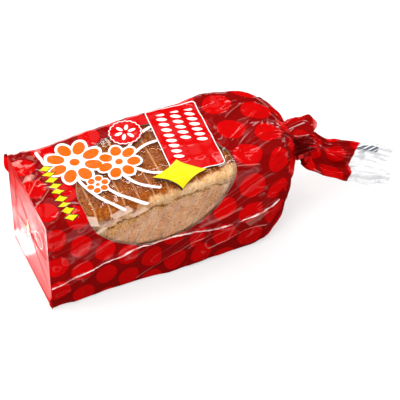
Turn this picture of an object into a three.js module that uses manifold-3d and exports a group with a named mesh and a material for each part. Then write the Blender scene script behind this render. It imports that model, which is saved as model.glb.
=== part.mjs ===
// A sliced sandwich loaf in a printed film bag, lying on its side on a table.
// The bag is one filled solid: a box round the loaf with a folded end, side welds and creases,
// a puffed end that gathers into a taped neck, a folded ear of film beside it, and a flat tail.
// Millimetres, +Z up. +X runs from the folded end to the tail, and -Y is the side with the window.
import * as THREE from "three";
import { mergeVertices } from "three/addons/utils/BufferGeometryUtils.js";
import Module from "manifold-3d";

const wasm = await Module();
wasm.setup();

// Driving dimensions of the filled bag
const width = 101;
const height = 105;
const boxLength = 215;
const domeLength = 51;
const neckRadius = 8;
const neckHeight = 54;
const tieLength = 10;
const tieThickness = 0.9;
const clearance = 0.35;

// Corner radii along the box
const endCornerRadius = 3;
const bottomRadius = 3.5;
const nearTopRadius = 9;
const farTopRadius = 7;
const domeBottomRadius = 18;
const domeTopRadius = 24;
const cornerGrowthStart = 196;

const domeLean = 11;

// Film details
const weldHeight = 42;
const weldProud = 1.4;
const weldThickness = 1;
const creaseDepth = 1.6;
const endPanelSink = 2.5;

// The tail leaves the neck here and ends at its mouth
const neckStart = new THREE.Vector3(264, 0, neckHeight);
const tieCentre = new THREE.Vector3(270.5, 0, neckHeight);
const tailPoints = [
  tieCentre,
  new THREE.Vector3(277, 0, neckHeight),
  new THREE.Vector3(279, 0, neckHeight),
  new THREE.Vector3(286, -2, 48.5),
  new THREE.Vector3(300, -7, 39),
  new THREE.Vector3(322, -13, 30.5),
  new THREE.Vector3(342, -18.5, 23.5),
  new THREE.Vector3(362, -23, 16),
];
const tailHalfWidth = 20;
const tailHalfThickness = 1.6;

const clamp01 = (v) => Math.min(1, Math.max(0, v));
const mix = (a, b, share) => a + (b - a) * share;
const smooth = (from, to, v) => {
  const share = clamp01((v - from) / (to - from));
  return share * share * (3 - 2 * share);
};
const hump = (centre, reach, v) => Math.exp(-(((v - centre) / reach) ** 2));

// A point on a rounded rectangle, by share of its outline, from the middle of the bottom towards -Y.
function roundedRectangle(share, halfWidth, low, high, radii) {
  const [nearLow, nearHigh, farHigh, farLow] = radii;
  const quarter = Math.PI / 2;
  const runs = [
    halfWidth - nearLow,
    nearLow * quarter,
    high - low - nearLow - nearHigh,
    nearHigh * quarter,
    2 * halfWidth - nearHigh - farHigh,
    farHigh * quarter,
    high - low - farHigh - farLow,
    farLow * quarter,
    halfWidth - farLow,
  ];
  let left = share * runs.reduce((sum, run) => sum + run, 0);
  let run = 0;
  while (run < runs.length - 1 && left > runs[run]) {
    left -= runs[run];
    run += 1;
  }
  const arc = (cy, cz, radius, from) => {
    const angle = from - left / radius;
    return [cy + radius * Math.cos(angle), cz + radius * Math.sin(angle)];
  };
  const w = halfWidth;
  const places = [
    () => [-left, low],
    () => arc(-w + nearLow, low + nearLow, nearLow, -quarter),
    () => [-w, low + nearLow + left],
    () => arc(-w + nearHigh, high - nearHigh, nearHigh, 2 * quarter),
    () => [-w + nearHigh + left, high],
    () => arc(w - farHigh, high - farHigh, farHigh, quarter),
    () => [w, high - farHigh - left],
    () => arc(w - farLow, low + farLow, farLow, 0),
    () => [w - farLow - left, low],
  ];
  return places[run]();
}

// How far the top sags or stands up along the box, on its near and its far edge
function topOffset(x, y) {
  const near = -4 * hump(58, 34, x) + 1.5 * hump(170, 40, x);
  const far = 6.5 * hump(130, 75, x) + 2 * hump(205, 30, x);
  return mix(near, far, clamp01(y / width + 0.5));
}

// Shallow slanting folds that the slack film makes on each side of the box
function creases(x, y, z) {
  const side = Math.abs(y) / (width / 2);
  const slant = Math.sin((x - 1.15 * z) / 15) * Math.sin((x + 0.35 * z) / 37 + 1);
  const low = smooth(0, 12, z) * (1 - smooth(34, 46, z));
  const fade = smooth(10, 30, x);
  return creaseDepth * fade * low * smooth(0.9, 1, side) * (slant + 0.6);
}

// One ring of the box and the puffed dome at a place along X
function boxRing(x, shares) {
  const along = clamp01((x - boxLength) / domeLength);
  const scale = Math.max(0, 1 - along ** 2.1) ** 0.9;
  const grown = smooth(cornerGrowthStart, boxLength + 16, x);
  const opened = smooth(0, 14, x);
  const low = mix(endCornerRadius, bottomRadius, opened);
  const radii = [
    mix(low, domeBottomRadius, grown),
    mix(mix(endCornerRadius, nearTopRadius, opened), domeTopRadius, grown),
    mix(mix(endCornerRadius, farTopRadius, opened), domeTopRadius, grown),
    mix(low, domeBottomRadius, grown),
  ];
  const lift = 3 * smooth(boxLength - 14, boxLength + 10, x) * (1 - smooth(0.5, 1, along));
  const toNeck = smooth(0, 1, along);
  const roundness = smooth(0.35, 0.95, along);
  return shares.map((share) => {
    const half = width / 2;
    const [ry, rz] = roundedRectangle(share, half, 0, height, radii);
    const angle = 2 * Math.PI * share;
    const pleat = pleats(share, along);
    const radial = Math.max(scale * half * 1.04, neckRadius) * (1 + pleat);
    const boxy = Math.max(scale, neckRadius / half) * (1 + pleat);
    const middle = mix(height / 2, neckHeight, toNeck) + lift;
    const y = mix(ry * boxy, -radial * Math.sin(angle), roundness);
    const z = middle + mix((rz - height / 2) * boxy, -radial * Math.cos(angle), roundness);
    const upper = smooth(height * 0.6, height * 0.95, rz) * (1 - along);
    const outward = creases(x, ry, rz) * Math.sign(ry) * (1 - along);
    const level = Math.max(0, z + upper * topOffset(x, ry));
    const lean = smooth(200, 236, x) * (1 - smooth(0.75, 0.95, along));
    const shifted = x + lean * (domeLean * (Math.max(0, rz / height - 0.5)) + 3.5 * (ry / half));
    return new THREE.Vector3(shifted, y + outward, level);
  });
}

// Pleats that deepen as the film is drawn in towards the neck
function pleats(share, along) {
  const angle = 2 * Math.PI * share;
  const waves = 0.6 * Math.sin(11 * angle + 0.8) + 0.4 * Math.sin(17 * angle + 2.1);
  const depth = 0.1 * smooth(0.15, 0.6, along) - 0.03 * smooth(0.8, 1, along);
  return waves * depth;
}

// One ring of the neck and the tail, on a path with its wide axis from near and low to far and high
function tailRing(path, along, shares) {
  const centre = path.getPointAt(along);
  const forward = path.getTangentAt(along);
  const wide = new THREE.Vector3(-0.35, -0.75, -0.6);
  wide.addScaledVector(forward, -wide.dot(forward)).normalize();
  const flat = new THREE.Vector3().crossVectors(wide, forward).normalize();
  const opening = smooth(0.15, 0.34, along);
  const halfWide = mix(neckRadius, tailHalfWidth, opening) - 3 * smooth(0.75, 1, along);
  const halfFlat = mix(neckRadius, tailHalfThickness, smooth(0.14, 0.42, along));
  return shares.map((share) => {
    const angle = 2 * Math.PI * (share - 0.125);
    const across = Math.cos(angle);
    const gather = 1 + pleats(share, 1) * (1 - opening);
    const wave = opening * (2.6 * Math.sin(5.2 * across + 7 * along) + 1.6 * Math.sin(11 * across + 2));
    const corner = Math.sign(Math.sin(angle)) * Math.sqrt(Math.abs(Math.sin(angle)));
    const thick = mix(Math.sin(angle), corner, opening);
    return centre
      .clone()
      .addScaledVector(wide, halfWide * gather * across)
      .addScaledVector(flat, halfFlat * gather * thick + wave);
  });
}

// The shares of the outline that carry a vertex, closer together round the corners of the box
function ringShares() {
  const outline = 2 * (width + height);
  const corners = [width / 2, width / 2 + height, width * 1.5 + height, width * 1.5 + 2 * height];
  const shares = [0];
  const wideStep = 7.5;
  const fineStep = 2.8;
  let at = 0;
  while (at < outline) {
    const near = Math.min(...corners.map((corner) => Math.abs(at - corner)));
    at += mix(fineStep, wideStep, smooth(6, 22, near));
    if (at < outline - fineStep) shares.push(at / outline);
  }
  return shares;
}

// A closed geometry through a row of rings, with a fan over each end
function skin(rings) {
  const count = rings[0].length;
  const centreOf = (ring) =>
    ring.reduce((sum, p) => sum.add(p), new THREE.Vector3()).divideScalar(ring.length);
  const points = rings.flat();
  const first = points.push(centreOf(rings[0])) - 1;
  const last = points.push(centreOf(rings[rings.length - 1])) - 1;
  const index = [];
  rings.slice(1).forEach((_, row) => {
    for (let i = 0; i < count; i += 1) {
      const a = row * count + i;
      const b = row * count + ((i + 1) % count);
      index.push(a, a + count, b, b, a + count, b + count);
    }
  });
  const top = (rings.length - 1) * count;
  for (let i = 0; i < count; i += 1) {
    const next = (i + 1) % count;
    index.push(first, i, next, last, top + next, top + i);
  }
  const geometry = new THREE.BufferGeometry().setFromPoints(points);
  geometry.setIndex(index);
  return geometry;
}

// The rings of the whole bag, from the folded end to the mouth of the tail
function bagRings() {
  const shares = ringShares();
  const sink = (ring, depth, size) => {
    const middle = new THREE.Vector3(0, 0, height / 2);
    return ring.map((p) => p.clone().sub(middle).multiplyScalar(size).add(middle).setX(depth));
  };
  const end = boxRing(0, shares);
  const box = [2.5, 8, 16, 28, 40, 55, 70, 86, 102, 118, 134, 150, 166, 180, 192, 202, 212];
  const dome = [0, 0.1, 0.2, 0.3, 0.4, 0.5, 0.6, 0.69, 0.77, 0.84, 0.9, 0.94].map(
    (share) => boxLength + share * domeLength,
  );
  const path = new THREE.CatmullRomCurve3([neckStart, ...tailPoints]);
  const tail = [0, 0.05, 0.1, 0.15, 0.2, 0.25, 0.32, 0.4, 0.5, 0.6, 0.7, 0.8, 0.9, 1];
  return [
    sink(end, endPanelSink, 0.55),
    sink(end, endPanelSink * 0.4, 0.86),
    end,
    ...[...box, ...dome].map((x) => boxRing(x, shares)),
    ...tail.map((along) => tailRing(path, along, shares)),
  ];
}

// The ear: film of the mouth that was folded over at the neck, seen as a puffed loop beside it
function earRings() {
  const path = new THREE.CatmullRomCurve3([
    new THREE.Vector3(248, -1, 68),
    new THREE.Vector3(261, 0, 76),
    new THREE.Vector3(274, 1, 79.5),
    new THREE.Vector3(290, 2, 80),
  ]);
  const shares = Array.from({ length: 24 }, (_, i) => i / 24);
  return [0, 0.1, 0.22, 0.35, 0.48, 0.6, 0.72, 0.83, 0.92, 0.98].map((along) => {
    const centre = path.getPointAt(along);
    const forward = path.getTangentAt(along);
    const wide = new THREE.Vector3(-0.3, 0.45, 0.85);
    wide.addScaledVector(forward, -wide.dot(forward)).normalize();
    const flat = new THREE.Vector3().crossVectors(wide, forward).normalize();
    const closing = Math.sqrt(1 - along ** 4);
    const halfWide = mix(4.5, 12.5, smooth(0, 0.55, along)) * closing;
    const halfFlat = mix(4, 5.5, smooth(0, 0.6, along)) * closing;
    return shares.map((share) => {
      const angle = 2 * Math.PI * share;
      const fold = 1 + 0.09 * Math.sin(5 * angle + 5 * along);
      return centre
        .clone()
        .addScaledVector(wide, halfWide * fold * Math.cos(angle))
        .addScaledVector(flat, halfFlat * fold * Math.sin(angle));
    });
  });
}

// The height of a side weld along the box, which wanders with the slack of the film
function weldZ(x) {
  const rise = -15 * (1 - smooth(0, 60, x)) + 4.5 * hump(95, 30, x) - 3.5 * hump(160, 22, x);
  return weldHeight + rise + 0.8 * Math.sin(x / 7);
}

// A side weld: a low fin of joined film along one side of the box
function weldRings(side) {
  const stations = Array.from({ length: 30 }, (_, i) => mix(1.5, boxLength - 4, i / 29));
  const root = 2.4;
  return stations.map((x) => {
    const z = weldZ(x);
    const half = weldThickness / 2;
    const face = width / 2 + creases(x, side * width, z);
    const proud = weldProud * (0.8 + 0.2 * Math.sin(x / 4.3));
    const section = [
      [face - root, z - half],
      [face + proud, z - half * 0.7],
      [face + proud, z + half * 0.7],
      [face - root, z + half],
    ];
    return section.map(([y, level]) => new THREE.Vector3(x, side * y, level));
  });
}

// A dog-ear: the pointed corner of the folded end, which stands a little proud of the box
function dogEarRings(corner, reach, tip) {
  const [y, z] = corner;
  return [0, 0.5, 1].map((share) => {
    const x = mix(5, -reach, share);
    const size = mix(5, 1.1, share);
    const cy = y + tip[0] * share;
    const cz = z + tip[1] * share;
    const diamond = [
      [-size, 0],
      [0, size],
      [size, 0],
      [0, -size],
    ];
    return diamond.map(([dy, dz]) => new THREE.Vector3(x, cy + dy * 0.6, cz + dz));
  });
}

// A solid from a closed geometry. One that came out with its faces inwards is turned round.
function solidOf(geometry) {
  const plain = geometry.index ? geometry.toNonIndexed() : geometry.clone();
  plain.deleteAttribute("normal");
  plain.deleteAttribute("uv");
  const merged = mergeVertices(plain, 1e-4);
  const make = (triVerts) =>
    new wasm.Manifold(
      new wasm.Mesh({
        numProp: 3,
        vertProperties: merged.attributes.position.array,
        triVerts,
      }),
    );
  const corners = new Uint32Array(merged.index.array);
  const made = make(corners);
  return made.volume() > 0 ? made : make(corners.slice().reverse());
}

function geometryOf(solid) {
  const mesh = solid.getMesh();
  const geometry = new THREE.BufferGeometry();
  geometry.setAttribute("position", new THREE.BufferAttribute(mesh.vertProperties, 3));
  geometry.setIndex(new THREE.BufferAttribute(mesh.triVerts, 1));
  geometry.computeVertexNormals();
  return geometry;
}

// The whole bag as one solid
function bagSolid() {
  const half = width / 2;
  const pieces = [
    earRings(),
    weldRings(-1),
    weldRings(1),
    dogEarRings([half - 3, height - 5.5], 3, [1.5, 0]),
    dogEarRings([-half + 3, 6.5], 2.5, [-1.5, -3]),
  ];
  return pieces.reduce((bag, rings) => bag.add(solidOf(skin(rings))), solidOf(skin(bagRings())));
}

// The tape round the neck: a ribbed ring that keeps clear of the gathered film inside it
function tieGeometry() {
  const inner = neckRadius * 1.08 + clearance;
  const outer = inner + tieThickness;
  const ribs = 5;
  const rib = 0.5;
  const steps = ribs * 4;
  const profile = [new THREE.Vector2(inner, -tieLength / 2)];
  for (let i = 0; i <= steps; i += 1) {
    const along = i / steps;
    const swell = rib * Math.sin(Math.PI * ribs * along) ** 2;
    profile.push(new THREE.Vector2(outer + swell, (along - 0.5) * tieLength));
  }
  profile.push(new THREE.Vector2(inner, tieLength / 2), profile[0].clone());
  return new THREE.LatheGeometry(profile, 28);
}

const film = new THREE.MeshStandardMaterial({ color: 0xb3120f, roughness: 0.28, metalness: 0 });
const tape = new THREE.MeshStandardMaterial({ color: 0xd8231c, roughness: 0.4, metalness: 0 });

const bag = new THREE.Mesh(geometryOf(bagSolid()), film);
bag.name = "bag";

const tie = new THREE.Mesh(tieGeometry(), tape);
tie.name = "neck_tie";
tie.rotation.z = -Math.PI / 2;
tie.position.copy(tieCentre);

// The origin is moved to the middle of the footprint, on the table
const group = new THREE.Group();
group.add(bag, tie);
const bounds = new THREE.Box3().setFromObject(group);
const middle = bounds.getCenter(new THREE.Vector3());
group.position.set(-middle.x, -middle.y, -bounds.min.z);

export default group;
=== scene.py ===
import math

import bpy
import numpy as np
from mathutils import Matrix, Vector


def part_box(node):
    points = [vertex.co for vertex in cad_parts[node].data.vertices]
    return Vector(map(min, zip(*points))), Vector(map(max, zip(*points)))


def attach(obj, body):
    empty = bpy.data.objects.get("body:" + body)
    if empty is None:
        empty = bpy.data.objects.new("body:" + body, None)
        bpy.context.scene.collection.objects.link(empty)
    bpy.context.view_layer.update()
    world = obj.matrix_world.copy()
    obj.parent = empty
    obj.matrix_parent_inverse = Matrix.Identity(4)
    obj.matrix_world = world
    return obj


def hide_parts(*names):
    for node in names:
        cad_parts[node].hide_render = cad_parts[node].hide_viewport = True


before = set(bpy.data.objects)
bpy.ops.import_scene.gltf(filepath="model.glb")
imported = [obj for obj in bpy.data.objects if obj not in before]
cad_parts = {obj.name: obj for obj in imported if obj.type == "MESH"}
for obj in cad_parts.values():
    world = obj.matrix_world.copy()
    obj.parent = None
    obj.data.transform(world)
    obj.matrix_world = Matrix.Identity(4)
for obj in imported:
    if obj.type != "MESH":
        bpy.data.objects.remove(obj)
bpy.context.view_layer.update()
scene = bpy.context.scene
scene.view_settings.view_transform = "Standard"

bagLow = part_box("bag")[0]
dogEarReach = 3.0  # the CAD's lowest x is the tip of a dog-ear
shift = np.array([bagLow[0] * 1000 + dogEarReach, 0.0, 0.0])
print("stage: frame loaded, shift", shift)

# Numbers shared with the solid
bagShape = {
    "width": 101.0,
    "height": 105.0,
    "boxLength": 215.0,
    "domeLength": 51.0,
    "neckRadius": 8.0,
    "neckHeight": 54.0,
    "neckStart": 264.0,
    "endCornerRadius": 3.0,
    "bottomRadius": 3.5,
    "nearTopRadius": 9.0,
    "farTopRadius": 7.0,
    "domeBottomRadius": 18.0,
    "domeTopRadius": 24.0,
    "cornerGrowthStart": 196.0,
    "domeLean": 11.0,
    # swells of the top's near and far edge: height, middle, reach
    "nearSwells": [(-4, 58, 34), (1.5, 170, 40)],
    "farSwells": [(6.5, 130, 75), (2, 205, 30)],
}
bagOutline = 2 * (bagShape["width"] + bagShape["height"])


def mix(a, b, share):
    return a + (b - a) * share


def smooth(low, high, value):  # 0 below low, 1 above high, eased between
    share = np.clip((value - low) / (high - low), 0, 1)
    return share * share * (3 - 2 * share)


def hump(centre, reach, value):  # a bell of height 1
    return np.exp(-(((value - centre) / reach) ** 2))


def softNoise(x, y, seed):  # random values on a unit grid, blended by an eased step: about -1 to 1
    values = np.random.default_rng(seed).uniform(-1, 1, (97, 89))
    column, row = np.floor(x).astype(int), np.floor(y).astype(int)
    across, up = x - column, y - row
    across, up = across**2 * (3 - 2 * across), up**2 * (3 - 2 * up)

    def at(c, r):
        return values[c % 97, r % 89]

    low = mix(at(column, row), at(column + 1, row), across)
    high = mix(at(column, row + 1), at(column + 1, row + 1), across)
    return mix(low, high, up)


def layeredNoise(x, y, seed, layers=3):  # soft noise plus finer, weaker copies of itself
    return sum(softNoise(x * 2**i, y * 2**i, seed + i) / 2**i for i in range(layers))


def turned(x, y, degrees):  # coordinates along and across a direction
    turn = math.radians(degrees)
    return x * math.cos(turn) + y * math.sin(turn), y * math.cos(turn) - x * math.sin(turn)


def folds(x, y, degrees, length, width, seed, sharp=2.0):
    # Standing folds: 1 on wandering lines that run the given way, falling away sharply to 0
    along, across = turned(x, y, degrees)
    wander = 0.35 * softNoise(along / length * 1.7, across / width * 0.4, seed + 50)
    return np.clip(1 - np.abs(softNoise(along / length, across / width + wander, seed)) * 1.6, 0, 1) ** sharp


def zigzag(phase):  # a folded wave: straight slopes between -0.5 and 0.5, two to a period of 2
    return np.abs((phase % 2) - 1) - 0.5


def creases(x, y, degrees, spacing, seed, wander=0.45):
    # Flat facets that meet in creases: a folded wave across the given way, strong here and weak there
    along, across = turned(x, y, degrees)
    phase = across / spacing + wander * softNoise(along / (spacing * 3.3), across / (spacing * 2.1), seed)
    strength = smooth(-0.7, 0.5, softNoise(along / (spacing * 2.6), phase * 0.45, seed + 1))
    return zigzag(phase) * strength


def roundedRectangle(share, radii):
    # Walks the outline from the middle of the bottom: each straight or quarter arc adds its part of the way
    width, height = bagShape["width"], bagShape["height"]
    nearLow, nearHigh, farHigh, farLow = radii
    quarter = math.pi / 2
    half = width / 2
    runs = [
        (half - nearLow, None, (-1, 0), None),
        (nearLow * quarter, nearLow, (-1, 0), (0, 1)),
        (height - nearLow - nearHigh, None, (0, 1), None),
        (nearHigh * quarter, nearHigh, (0, 1), (1, 0)),
        (width - nearHigh - farHigh, None, (1, 0), None),
        (farHigh * quarter, farHigh, (1, 0), (0, -1)),
        (height - farHigh - farLow, None, (0, -1), None),
        (farLow * quarter, farLow, (0, -1), (-1, 0)),
        (half - farLow, None, (-1, 0), None),
    ]
    way = share * sum(run[0] for run in runs)
    y = np.zeros(np.broadcast(way, nearLow).shape)
    z = np.zeros_like(y)
    start = np.zeros_like(nearLow)
    for length, radius, heading, nextHeading in runs:
        done = np.clip(way - start, 0, length)
        if radius is None:
            y, z = y + heading[0] * done, z + heading[1] * done
        else:
            angle = done / radius
            first, second = radius * np.sin(angle), radius * (1 - np.cos(angle))
            y = y + heading[0] * first + nextHeading[0] * second
            z = z + heading[1] * first + nextHeading[1] * second
        start = start + length
    return y, z


def topOffset(x, y):  # the top sags on its near edge and stands up on its far edge
    near = sum(height * hump(middle, reach, x) for height, middle, reach in bagShape["nearSwells"])
    far = sum(height * hump(middle, reach, x) for height, middle, reach in bagShape["farSwells"])
    return mix(near, far, np.clip(y / bagShape["width"] + 0.5, 0, 1))


def pleatWave(angle, along):  # the solid's pleats, deeper towards the neck
    waves = 0.6 * np.sin(11 * angle + 0.8) + 0.4 * np.sin(17 * angle + 2.1)
    return waves * (0.1 * smooth(0.15, 0.6, along) - 0.03 * smooth(0.8, 1, along))


def sharpPleats(angle, along):
    # Creases of the gathered film: folded waves whose number and place wander round the bag
    wander = 0.9 * softNoise(angle * 1.3, along * 1.5, 31)
    coarse = zigzag(angle * 9.5 / math.pi + wander)
    fine = zigzag(angle * 19 / math.pi + 1.7 * wander + 0.6 * along)
    strength = 0.7 + 0.5 * softNoise(angle * 2.2, along * 3, 33)
    depth = 0.085 * smooth(0.05, 0.55, along)
    return depth * strength * (coarse + 0.6 * fine * smooth(0.25, 0.7, along))


def domeScale(x):  # how far along the dome each x is, and how wide the dome still is there
    along = np.clip((x - bagShape["boxLength"]) / bagShape["domeLength"], 0, 1)
    return along, np.clip(1 - along**2.1, 0, 1) ** 0.9


def bodyPoints(x, share):
    # The bag's box and dome: a rounded rectangle at each x that shrinks, turns round and lifts into the neck
    s = bagShape
    half = s["width"] / 2
    along, scale = domeScale(x)
    grown = smooth(s["cornerGrowthStart"], s["boxLength"] + 16, x)
    opened = smooth(0, 14, x)
    low = mix(s["endCornerRadius"], s["bottomRadius"], opened)
    lowest = mix(low, s["domeBottomRadius"], grown)
    nearHigh = mix(mix(s["endCornerRadius"], s["nearTopRadius"], opened), s["domeTopRadius"], grown)
    farHigh = mix(mix(s["endCornerRadius"], s["farTopRadius"], opened), s["domeTopRadius"], grown)
    ringY, ringZ = roundedRectangle(share, (lowest, nearHigh, farHigh, lowest))
    lift = 3 * smooth(s["boxLength"] - 14, s["boxLength"] + 10, x) * (1 - smooth(0.5, 1, along))
    toNeck, roundness = smooth(0, 1, along), smooth(0.35, 0.95, along)
    angle = 2 * math.pi * share
    pleat = pleatWave(angle, along) + sharpPleats(angle, along)
    radial = np.maximum(scale * half * 1.04, s["neckRadius"]) * (1 + pleat)
    boxy = np.maximum(scale, s["neckRadius"] / half) * (1 + pleat)
    middle = mix(s["height"] / 2, s["neckHeight"], toNeck) + lift
    y = mix(ringY * boxy, -radial * np.sin(angle), roundness)
    z = middle + mix((ringZ - s["height"] / 2) * boxy, -radial * np.cos(angle), roundness)
    upper = smooth(s["height"] * 0.6, s["height"] * 0.95, ringZ) * (1 - along)
    level = z + upper * topOffset(x, ringY)
    lean = smooth(200, 236, x) * (1 - smooth(0.75, 0.95, along))
    leant = s["domeLean"] * np.maximum(0, ringZ / s["height"] - 0.5) + 3.5 * ringY / half
    return stacked(x + lean * leant, y, level)


def stacked(*values):  # one grid of points or uv from values that broadcast together
    return np.stack(np.broadcast_arrays(*values), -1)


def ringShares(count, extra=0):  # even shares of the way round, from 0
    return (np.arange(count + extra) / count)[None, :]


def gridNormals(points, wrap):  # unit normals from the differences of neighbours along and round
    alongStep = np.gradient(points, axis=0)
    if wrap:
        roundStep = np.roll(points, -1, axis=1) - np.roll(points, 1, axis=1)
    else:
        roundStep = np.gradient(points, axis=1)
    normal = np.cross(alongStep, roundStep)
    return normal / np.maximum(np.linalg.norm(normal, axis=-1, keepdims=True), 1e-9)


def makeMesh(name, points, faces, uvs, material, attributes=None):
    mesh = bpy.data.meshes.new(name)
    mesh.from_pydata(((points.reshape(-1, 3) + shift) / 1000).tolist(), [], faces.tolist())
    for key, values in uvs.items():
        layer = mesh.uv_layers.new(name=key)
        layer.data.foreach_set("uv", np.ascontiguousarray(values, dtype=np.float32).ravel())
    for key, values in (attributes or {}).items():
        attribute = mesh.attributes.new(key, "FLOAT", "POINT")
        attribute.data.foreach_set("value", values.ravel().astype(np.float32))
    mesh.polygons.foreach_set("use_smooth", np.ones(len(mesh.polygons), dtype=bool))
    mesh.materials.append(material)
    mesh.validate()
    mesh.update()
    piece = bpy.data.objects.new(name, mesh)
    scene.collection.objects.link(piece)
    return piece


def addGrid(name, points, uv, material, wrap=False, flip=False, dots=None):
    # One quad between four neighbours of the grid. A uv map has one more column than points where it wraps.
    rows, columns = points.shape[:2]
    index = np.arange(rows * columns).reshape(rows, columns)
    right = np.roll(index, -1, axis=1) if wrap else index[:, 1:]
    here = index if wrap else index[:, :-1]
    order = slice(None, None, -1) if flip else slice(None)
    faces = np.stack([here[:-1], right[:-1], right[1:], here[1:]][order], -1).reshape(-1, 4)
    maps = {}
    for key, grid in (("film", uv), ("dots", dots)):
        if grid is not None:
            quads = [grid[:-1, :-1], grid[:-1, 1:], grid[1:, 1:], grid[1:, :-1]][order]
            maps[key] = np.stack(quads, -2).reshape(-1, 2)
    return makeMesh(name, points, faces, maps, material)


# Shader helpers
def addNode(tree, kind, inputs=None, **settings):
    node = tree.nodes.new(kind)
    for key, value in settings.items():
        setattr(node, key, value)
    for key, value in (inputs or {}).items():
        if isinstance(value, bpy.types.NodeSocket):
            tree.links.new(value, node.inputs[key])
        else:
            node.inputs[key].default_value = value
    return node


def calc(tree, operation, first, second=0.0, third=None, clamp=False):
    inputs = {0: first, 1: second}
    if third is not None:
        inputs[2] = third
    return addNode(tree, "ShaderNodeMath", inputs, operation=operation, use_clamp=clamp).outputs[0]


def plus(tree, first, second):
    return calc(tree, "ADD", first, second)


def minus(tree, first, second):
    return calc(tree, "SUBTRACT", first, second)


def times(tree, first, second):
    return calc(tree, "MULTIPLY", first, second)


def divided(tree, first, second):
    return calc(tree, "DIVIDE", first, second)


def larger(tree, first, second):
    return calc(tree, "MAXIMUM", first, second)


def sizeOf(tree, value):  # the value without its sign
    return calc(tree, "ABSOLUTE", value)


def strongest(tree, masks):  # the largest of several masks at each point
    result = masks[0]
    for mask in masks[1:]:
        result = larger(tree, result, mask)
    return result


def newTree(name):  # a new material and its empty node tree
    material = bpy.data.materials.new(name)
    material.use_nodes = True
    material.node_tree.nodes.clear()
    return material, material.node_tree


def finishTree(tree, shader):
    output = addNode(tree, "ShaderNodeOutputMaterial")
    tree.links.new(shader, output.inputs["Surface"])


def mixColour(tree, factor, below, above):
    node = addNode(tree, "ShaderNodeMix", data_type="RGBA")
    for socket, value in ((node.inputs[0], factor), (node.inputs[6], below), (node.inputs[7], above)):
        if isinstance(value, bpy.types.NodeSocket):
            tree.links.new(value, socket)
        else:
            socket.default_value = value
    return node.outputs[2]


def mixShader(tree, factor, below, above):
    return addNode(tree, "ShaderNodeMixShader", {0: factor, 1: below, 2: above}).outputs[0]


def noise(tree, place, scale, detail, roughness=0.5, **settings):
    inputs = {"Vector": place, "Scale": scale, "Detail": detail, "Roughness": roughness}
    return addNode(tree, "ShaderNodeTexNoise", inputs, **settings).outputs[0]


def bumped(tree, height, strength, distance=0.001):
    inputs = {"Height": height, "Strength": strength, "Distance": distance}
    return addNode(tree, "ShaderNodeBump", inputs).outputs[0]


def coloured(tree, value, stops):  # a colour for each value, by way of a ramp with these stops
    node = addNode(tree, "ShaderNodeValToRGB", {0: value})
    ramp = node.color_ramp
    while len(ramp.elements) < len(stops):
        ramp.elements.new(0.5)
    for element, (position, colour) in zip(ramp.elements, stops):
        element.position = position
        element.color = colour
    return node.outputs[0]


def surface(tree, colour, roughness, specular=0.5, coat=0.0, coatRoughness=0.03, normal=None):
    node = addNode(tree, "ShaderNodeBsdfPrincipled", {"Base Color": colour, "Roughness": roughness})
    node.inputs["Specular IOR Level"].default_value = specular
    node.inputs["Coat Weight"].default_value = coat
    node.inputs["Coat Roughness"].default_value = coatRoughness
    if normal is not None:
        tree.links.new(normal, node.inputs["Normal"])
    return node


def filmUv(tree):
    return addNode(tree, "ShaderNodeUVMap", uv_map="film").outputs[0]


def localPoint(tree, uv, centre, size=(1, 1), degrees=0):  # uv moved, turned and scaled into a shape's frame
    node = addNode(tree, "ShaderNodeMapping", {"Vector": uv}, vector_type="TEXTURE")
    node.inputs["Location"].default_value = (centre[0] / 100, centre[1] / 100, 0)
    node.inputs["Rotation"].default_value = (0, 0, math.radians(degrees))
    node.inputs["Scale"].default_value = (size[0] / 100, size[1] / 100, 1)
    return node.outputs[0]


def millimetres(tree, uv, centre, degrees=0):  # millimetres from a point on the flat film
    return localPoint(tree, uv, centre, (1, 1), degrees)


def lengthOf(tree, vector):
    return addNode(tree, "ShaderNodeVectorMath", {0: vector}, operation="LENGTH").outputs["Value"]


def ranged(tree, value, low, high, start=0.0, end=1.0):  # start up to low, end from high, even between
    inputs = {"Value": value, "From Min": low, "From Max": high, "To Min": start, "To Max": end}
    return addNode(tree, "ShaderNodeMapRange", inputs).outputs[0]


def inside(tree, distance, limit, softness):  # 1 where distance is under limit, with a soft rim
    return ranged(tree, distance, limit - softness, limit + softness, 1.0, 0.0)


def parts(tree, vector):  # its first two values
    node = addNode(tree, "ShaderNodeSeparateXYZ", {0: vector})
    return node.outputs[0], node.outputs[1]


def ellipse(tree, uv, centre, size, degrees=0, softness=0.02):
    return inside(tree, lengthOf(tree, localPoint(tree, uv, centre, size, degrees)), 1.0, softness)


def distanceOf(tree, x, y):
    return calc(tree, "SQRT", plus(tree, times(tree, x, x), times(tree, y, y)))


def boxDistance(tree, x, y, halfX, halfY, radius):  # signed distance to a rectangle with round corners
    outX = larger(tree, minus(tree, sizeOf(tree, x), halfX - radius), 0.0)
    outY = larger(tree, minus(tree, sizeOf(tree, y), halfY - radius), 0.0)
    return minus(tree, distanceOf(tree, outX, outY), radius)


def scalloped(tree, x, y, scallops, depth):  # distance from the middle, drawn in where the rim bulges
    bulge = sizeOf(tree, calc(tree, "SINE", times(tree, calc(tree, "ARCTAN2", y, x), scallops)))
    return minus(tree, distanceOf(tree, x, y), times(tree, bulge, depth))


def onPetal(tree, x, y, petals):  # how far out and aside a point lies on the petal that is nearest to it
    distance = distanceOf(tree, x, y)
    step = math.pi / petals
    angle = calc(tree, "WRAP", calc(tree, "ARCTAN2", y, x), step, -step)
    out = times(tree, distance, calc(tree, "COSINE", angle))
    return out, times(tree, distance, calc(tree, "SINE", angle))


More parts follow.
